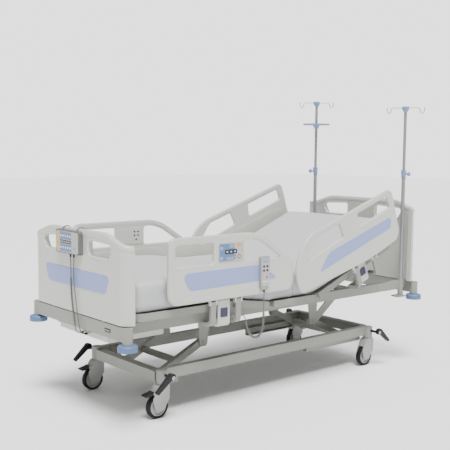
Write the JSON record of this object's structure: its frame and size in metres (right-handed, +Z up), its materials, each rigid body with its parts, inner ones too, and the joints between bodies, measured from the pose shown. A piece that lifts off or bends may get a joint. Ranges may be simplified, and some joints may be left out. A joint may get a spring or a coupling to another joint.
{
  "type": "intensive care bed",
  "caption": "Electric care bed on casters with split folding side rails, lift-off boards, a segmented mattress platform, lifting linkage, drip poles and hung controls.",
  "frame": {"origin": "on the floor, under the middle of the bed", "axes": "+X to the head end, +Y to the far side (the patient's right), +Z up"},
  "size_m": [2.334, 0.996, 1.726],
  "materials": {
    "steel_white": "satin powder coat",
    "shell_white": "fine satin moulding",
    "arm_black": "satin",
    "pole_steel": "brushed",
    "wheel_rubber": "matte",
    "fork_grey": "satin",
    "bumper_blue": "matte",
    "mattress_cover": "coated knit",
    "button_dark": "matte",
    "knob_blue": "satin",
    "case_white": "semi gloss",
    "case_dark": "matte",
    "cord_grey": "matte"
  },
  "bodies": {
    "base": {"base_frame": "steel_white"},
    "lift_foot": {"foot_lift_arms": "steel_white"},
    "lift_head": {"head_lift_arms": "steel_white"},
    "upper": {"upper_frame": "steel_white", "seat_section": "steel_white", "mattress_seat": "mattress_cover", "actuators": "case_dark", "control_box": "case_white", "nurse_cord_coil": "cord_grey", "nurse_cord_leads": "cord_grey", "rail_lock_foot": "steel_white", "iv_pole_near": "pole_steel", "iv_pole_far": "pole_steel"},
    "back": {"back_section": "steel_white", "mattress_back": "mattress_cover", "rail_lock_back": "steel_white"},
    "thigh": {"thigh_section": "steel_white", "mattress_thigh": "mattress_cover"},
    "leg": {"leg_section": "steel_white", "mattress_leg": "mattress_cover"},
    "footboard": {"footboard": "shell_white"},
    "headboard": {"headboard": "shell_white"},
    "nurse_panel": {"nurse_panel": "case_white"},
    "handset": {"handset": "case_white"},
    "arms_foot_near": {"rail_arms_foot_near": "steel_white"},
    "rail_foot_near": {"side_rail_foot_near": "shell_white", "handset_cord_coil": "cord_grey", "handset_cord_leads": "cord_grey"},
    "arms_foot_far": {"rail_arms_foot_far": "steel_white"},
    "rail_foot_far": {"side_rail_foot_far": "shell_white"},
    "arms_back_near": {"rail_arms_back_near": "steel_white"},
    "rail_back_near": {"side_rail_back_near": "shell_white"},
    "arms_back_far": {"rail_arms_back_far": "steel_white"},
    "rail_back_far": {"side_rail_back_far": "shell_white"},
    "foot_brake_bar": {"foot_brake_bar": "arm_black"},
    "head_brake_bar": {"head_brake_bar": "arm_black"},
    "iv_rod_near": {"iv_rod_near": "pole_steel"},
    "iv_rod_far": {"iv_rod_far": "pole_steel"},
    "fork_foot_near": {"caster_fork_foot_near": "fork_grey"},
    "wheel_foot_near": {"caster_wheel_foot_near": "wheel_rubber"},
    "fork_foot_far": {"caster_fork_foot_far": "fork_grey"},
    "wheel_foot_far": {"caster_wheel_foot_far": "wheel_rubber"},
    "fork_head_near": {"caster_fork_head_near": "fork_grey"},
    "wheel_head_near": {"caster_wheel_head_near": "wheel_rubber"},
    "fork_head_far": {"caster_fork_head_far": "fork_grey"},
    "wheel_head_far": {"caster_wheel_head_far": "wheel_rubber"},
    "pedal_near": {"caster_toe_tab_near": "arm_black"},
    "pedal_far": {"caster_toe_tab_far": "arm_black"},
    "release_foot_near": {"release_button_foot_near": "button_dark"},
    "release_foot_far": {"release_button_foot_far": "button_dark"},
    "release_back_near": {"release_button_back_near": "button_dark"},
    "release_back_far": {"release_button_back_far": "button_dark"},
    "iv_knob_near": {"iv_knob_near": "knob_blue"},
    "iv_knob_far": {"iv_knob_far": "knob_blue"},
    "bumper_foot_near": {"bumper_roller_foot_near": "bumper_blue"},
    "bumper_foot_far": {"bumper_roller_foot_far": "bumper_blue"},
    "bumper_head_near": {"bumper_roller_head_near": "bumper_blue"},
    "bumper_head_far": {"bumper_roller_head_far": "bumper_blue"}
  },
  "joints": [
    {"name": "lift", "type": "hinge", "parent": "base", "child": "lift_foot", "pos_m": [-0.72055, 0, 0.18316], "axis": [0, -1, 0], "range_deg": [-17, 45]},
    {"name": "backrest", "type": "hinge", "parent": "upper", "child": "back", "pos_m": [0.198, 0, 0.53], "axis": [0, -1, 0], "range_deg": [-21.5, 45], "deforming": ["mattress_seat"]},
    {"name": "thigh", "type": "hinge", "parent": "upper", "child": "thigh", "pos_m": [-0.168, 0, 0.53], "axis": [0, 1, 0], "range_deg": [-8.6, 30], "deforming": ["mattress_thigh"]},
    {"name": "leg_level", "type": "hinge", "parent": "thigh", "child": "leg", "pos_m": [-0.4231, 0, 0.56858], "axis": [0, 1, 0], "range_deg": [-30, 8.6]},
    {"name": "upper_level", "type": "hinge", "parent": "lift_foot", "child": "upper", "pos_m": [-0.443, 0, 0.312], "axis": [0, -1, 0], "range_deg": [-45, 17]},
    {"name": "lift_head", "type": "hinge", "parent": "upper", "child": "lift_head", "pos_m": [0.443, 0, 0.312], "axis": [0, 1, 0], "range_deg": [-17, 45]},
    {"name": "fold_foot_near", "type": "hinge", "parent": "upper", "child": "arms_foot_near", "pos_m": [-0.518, -0.412, 0.476], "axis": [1, 0, 0], "range_deg": [0, 128]},
    {"name": "upright_foot_near", "type": "hinge", "parent": "arms_foot_near", "child": "rail_foot_near", "pos_m": [-0.518, -0.4625, 0.592], "axis": [1, 0, 0], "range_deg": [-128, 0]},
    {"name": "fold_foot_far", "type": "hinge", "parent": "upper", "child": "arms_foot_far", "pos_m": [-0.518, 0.412, 0.476], "axis": [-1, 0, 0], "range_deg": [0, 128]},
    {"name": "upright_foot_far", "type": "hinge", "parent": "arms_foot_far", "child": "rail_foot_far", "pos_m": [-0.518, 0.4625, 0.592], "axis": [-1, 0, 0], "range_deg": [-128, 0]},
    {"name": "fold_back_near", "type": "hinge", "parent": "back", "child": "arms_back_near", "pos_m": [0.61578, -0.412, 0.59354], "axis": [0.9304, 0, 0.3665], "range_deg": [0, 95]},
    {"name": "upright_back_near", "type": "hinge", "parent": "arms_back_near", "child": "rail_back_near", "pos_m": [0.57327, -0.486, 0.70147], "axis": [0.9304, 0, 0.3665], "range_deg": [-95, 0]},
    {"name": "fold_back_far", "type": "hinge", "parent": "back", "child": "arms_back_far", "pos_m": [0.61578, 0.412, 0.59354], "axis": [-0.9304, 0, -0.3665], "range_deg": [0, 95]},
    {"name": "upright_back_far", "type": "hinge", "parent": "arms_back_far", "child": "rail_back_far", "pos_m": [0.57327, 0.486, 0.70147], "axis": [-0.9304, 0, -0.3665], "range_deg": [-95, 0]},
    {"name": "footboard_lift", "type": "slide", "parent": "upper", "child": "footboard", "axis": [0, 0, 1], "range_m": [0, 0.09]},
    {"name": "headboard_lift", "type": "slide", "parent": "upper", "child": "headboard", "axis": [0, 0, 1], "range_m": [0, 0.09]},
    {"name": "foot_brake", "type": "hinge", "parent": "base", "child": "foot_brake_bar", "pos_m": [-0.82, 0, 0.225], "axis": [0, 1, 0], "range_deg": [-12, 12]},
    {"name": "head_brake", "type": "hinge", "parent": "base", "child": "head_brake_bar", "pos_m": [0.82, 0, 0.225], "axis": [0, 1, 0], "range_deg": [-12, 12]},
    {"name": "iv_slide_near", "type": "slide", "parent": "upper", "child": "iv_rod_near", "axis": [0, 0, 1], "range_m": [-0.33, 0.25]},
    {"name": "iv_slide_far", "type": "slide", "parent": "upper", "child": "iv_rod_far", "axis": [0, 0, 1], "range_m": [-0.26, 0.25]},
    {"name": "swivel_foot_near", "type": "hinge", "parent": "base", "child": "fork_foot_near", "pos_m": [-0.82, -0.317, 0.176], "axis": [0, 0, 1], "continuous": true},
    {"name": "roll_foot_near", "type": "hinge", "parent": "fork_foot_near", "child": "wheel_foot_near", "pos_m": [-0.852, -0.317, 0.0625], "axis": [0, 1, 0], "continuous": true},
    {"name": "swivel_foot_far", "type": "hinge", "parent": "base", "child": "fork_foot_far", "pos_m": [-0.82, 0.317, 0.176], "axis": [0, 0, 1], "continuous": true},
    {"name": "roll_foot_far", "type": "hinge", "parent": "fork_foot_far", "child": "wheel_foot_far", "pos_m": [-0.852, 0.317, 0.0625], "axis": [0, 1, 0], "continuous": true},
    {"name": "swivel_head_near", "type": "hinge", "parent": "base", "child": "fork_head_near", "pos_m": [0.82, -0.317, 0.176], "axis": [0, 0, 1], "continuous": true},
    {"name": "roll_head_near", "type": "hinge", "parent": "fork_head_near", "child": "wheel_head_near", "pos_m": [0.788, -0.317, 0.0625], "axis": [0, 1, 0], "continuous": true},
    {"name": "swivel_head_far", "type": "hinge", "parent": "base", "child": "fork_head_far", "pos_m": [0.82, 0.317, 0.176], "axis": [0, 0, 1], "continuous": true},
    {"name": "roll_head_far", "type": "hinge", "parent": "fork_head_far", "child": "wheel_head_far", "pos_m": [0.788, 0.317, 0.0625], "axis": [0, 1, 0], "continuous": true},
    {"name": "nurse_panel_lift", "type": "slide", "parent": "footboard", "child": "nurse_panel", "axis": [0, 0, 1], "range_m": [0, 0.05]},
    {"name": "handset_lift", "type": "slide", "parent": "rail_foot_near", "child": "handset", "axis": [0, 0, 1], "range_m": [0, 0.02]},
    {"name": "pedal_near", "type": "hinge", "parent": "fork_foot_near", "child": "pedal_near", "pos_m": [-0.882, -0.317, 0.138], "axis": [0, 1, 0], "range_deg": [-10, 8]},
    {"name": "pedal_far", "type": "hinge", "parent": "fork_foot_far", "child": "pedal_far", "pos_m": [-0.882, 0.317, 0.138], "axis": [0, 1, 0], "range_deg": [-10, 8]},
    {"name": "release_foot_near", "type": "slide", "parent": "upper", "child": "release_foot_near", "axis": [0, 1, 0], "range_m": [0, 0.003], "stiffness_N_per_m": 1500},
    {"name": "release_foot_far", "type": "slide", "parent": "upper", "child": "release_foot_far", "axis": [0, -1, 0], "range_m": [0, 0.003], "stiffness_N_per_m": 1500},
    {"name": "release_back_near", "type": "slide", "parent": "back", "child": "release_back_near", "axis": [0, 1, 0], "range_m": [0, 0.003], "stiffness_N_per_m": 1500},
    {"name": "release_back_far", "type": "slide", "parent": "back", "child": "release_back_far", "axis": [0, -1, 0], "range_m": [0, 0.003], "stiffness_N_per_m": 1500},
    {"name": "iv_clamp_near", "type": "hinge", "parent": "upper", "child": "iv_knob_near", "pos_m": [1.054, -0.39, 1.233], "axis": [0.9397, -0.342, 0], "range_deg": [-180, 180]},
    {"name": "iv_clamp_far", "type": "hinge", "parent": "upper", "child": "iv_knob_far", "pos_m": [1.054, 0.39, 1.233], "axis": [-0.866, 0.5, 0], "range_deg": [-180, 180]},
    {"name": "bumper_foot_near", "type": "hinge", "parent": "upper", "child": "bumper_foot_near", "pos_m": [-1.118, -0.449, 0.43], "axis": [0, 0, 1], "continuous": true},
    {"name": "bumper_foot_far", "type": "hinge", "parent": "upper", "child": "bumper_foot_far", "pos_m": [-1.118, 0.449, 0.43], "axis": [0, 0, 1], "continuous": true},
    {"name": "bumper_head_near", "type": "hinge", "parent": "upper", "child": "bumper_head_near", "pos_m": [1.118, -0.449, 0.43], "axis": [0, 0, 1], "continuous": true},
    {"name": "bumper_head_far", "type": "hinge", "parent": "upper", "child": "bumper_head_far", "pos_m": [1.118, 0.449, 0.43], "axis": [0, 0, 1], "continuous": true}
  ],
  "couplings": [
    {"joint": "leg_level", "follows": "thigh", "ratio": -1},
    {"joint": "upper_level", "follows": "lift", "ratio": -1},
    {"joint": "lift_head", "follows": "lift", "ratio": 1},
    {"joint": "upright_foot_near", "follows": "fold_foot_near", "ratio": -1},
    {"joint": "upright_foot_far", "follows": "fold_foot_far", "ratio": -1},
    {"joint": "upright_back_near", "follows": "fold_back_near", "ratio": -1},
    {"joint": "upright_back_far", "follows": "fold_back_far", "ratio": -1}
  ]
}
